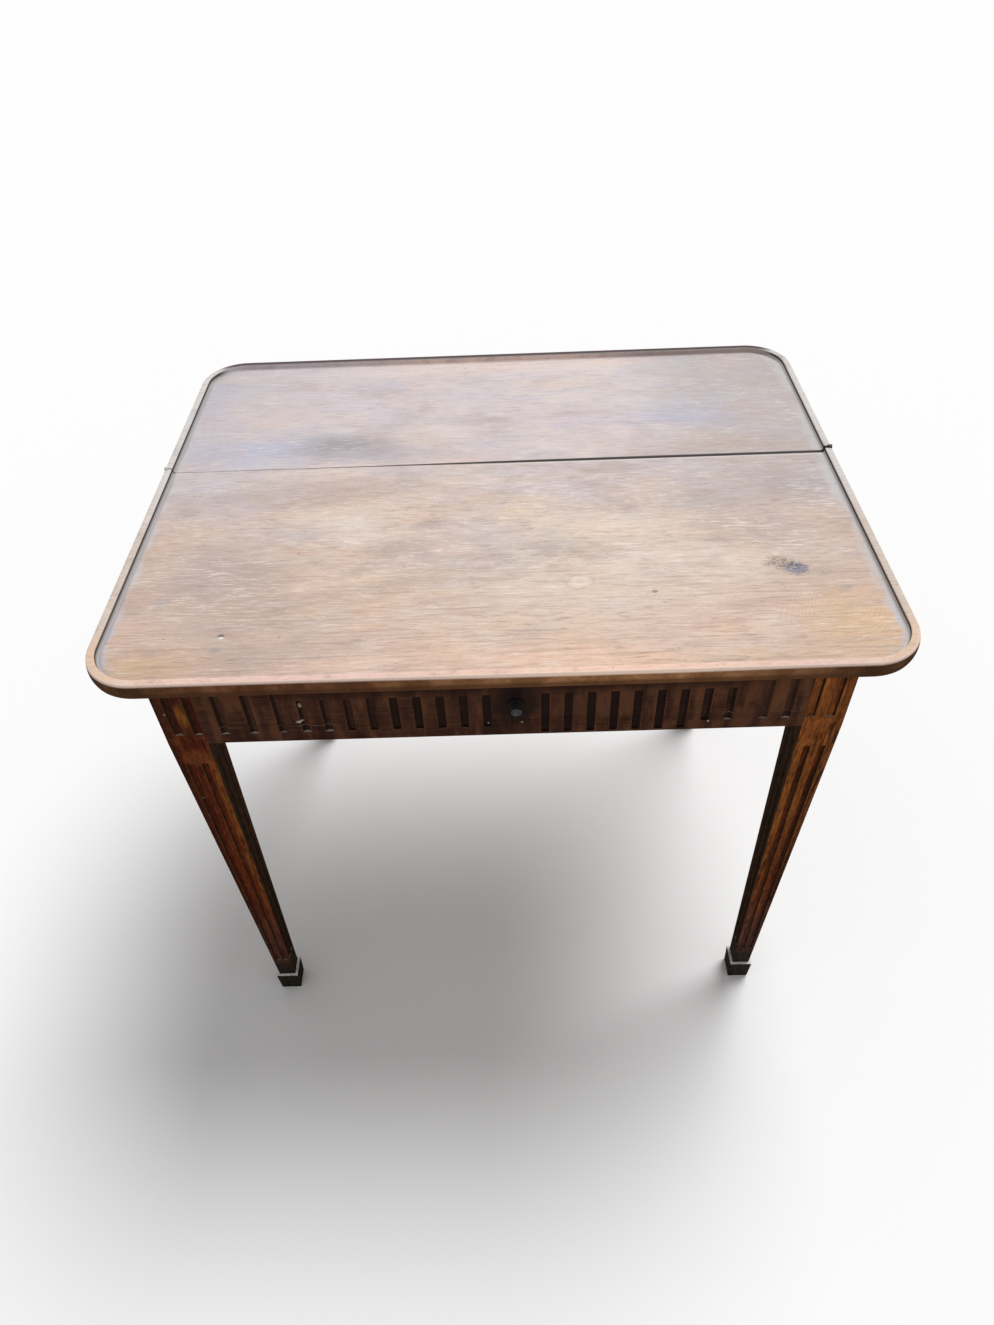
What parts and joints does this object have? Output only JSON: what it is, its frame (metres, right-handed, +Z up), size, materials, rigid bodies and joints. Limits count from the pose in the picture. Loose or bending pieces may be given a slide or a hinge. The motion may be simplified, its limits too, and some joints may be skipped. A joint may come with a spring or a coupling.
{
  "type": "games table",
  "caption": "Rectangular games table with a raised rim, a fold-over leaf on end hinges, a draw-out rear frame, a fluted frieze with a drawer and tapered fluted legs.",
  "frame": {"origin": "on the floor under the middle of the open top", "axes": "+X to the right along the front, +Y from the drawer front to the back, +Z up"},
  "size_m": [0.925, 0.727, 0.7533],
  "materials": {
    "top_wood": "worn satin polish",
    "rim_wood": "worn satin polish",
    "frieze_wood": "dark satin polish",
    "leg_wood": "dark satin polish",
    "inner_wood": "bare, aged",
    "hinge_metal": "dull, tarnished",
    "knob_metal": "polished by use",
    "rosette_metal": "blackened"
  },
  "bodies": {
    "frame": {"front_left_leg": "leg_wood", "front_right_leg": "leg_wood", "left_side_rail": "frieze_wood", "right_side_rail": "frieze_wood", "bottom_front_rail": "frieze_wood", "top_front_rail": "frieze_wood", "left_frieze_panel": "frieze_wood", "right_frieze_panel": "frieze_wood", "inner_back_rail": "inner_wood", "left_lower_keeper": "inner_wood", "left_upper_keeper": "inner_wood", "right_lower_keeper": "inner_wood", "right_upper_keeper": "inner_wood", "glue_blocks": "inner_wood", "left_drawer_runner": "inner_wood", "left_drawer_guide": "inner_wood", "left_drawer_kicker": "inner_wood", "right_drawer_runner": "inner_wood", "right_drawer_guide": "inner_wood", "right_drawer_kicker": "inner_wood", "drawer_stops": "inner_wood", "front_leaf_board": "top_wood", "front_leaf_long_moulding": "rim_wood", "front_leaf_left_moulding": "rim_wood", "front_leaf_right_moulding": "rim_wood", "front_leaf_corners": "rim_wood", "front_hinge_plates": "hinge_metal"},
    "rear_leaf": {"rear_leaf_board": "top_wood", "rear_leaf_long_moulding": "rim_wood", "rear_leaf_left_moulding": "rim_wood", "rear_leaf_right_moulding": "rim_wood", "rear_leaf_corners": "rim_wood", "rear_hinge_plates": "hinge_metal", "hinge_pins": "hinge_metal"},
    "rear_frame": {"rear_left_leg": "leg_wood", "rear_right_leg": "leg_wood", "rear_rail": "frieze_wood", "left_slide_bar": "inner_wood", "right_slide_bar": "inner_wood", "slide_stop_pegs": "inner_wood", "rear_corner_blocks": "inner_wood"},
    "drawer": {"drawer_front": "frieze_wood", "drawer_left_side": "inner_wood", "drawer_right_side": "inner_wood", "drawer_back": "inner_wood", "drawer_bottom": "inner_wood", "knob_rosette": "rosette_metal", "drawer_knob": "knob_metal"}
  },
  "joints": [
    {"name": "leaf_fold", "type": "hinge", "parent": "frame", "child": "rear_leaf", "pos_m": [0, 0.0565, 0.75015], "axis": [1, 0, 0], "range_deg": [0, 180]},
    {"name": "rear_frame_slide", "type": "slide", "parent": "frame", "child": "rear_frame", "axis": [0, 1, 0], "range_m": [-0.2, 0]},
    {"name": "drawer_slide", "type": "slide", "parent": "frame", "child": "drawer", "axis": [0, -1, 0], "range_m": [0, 0.24]}
  ]
}
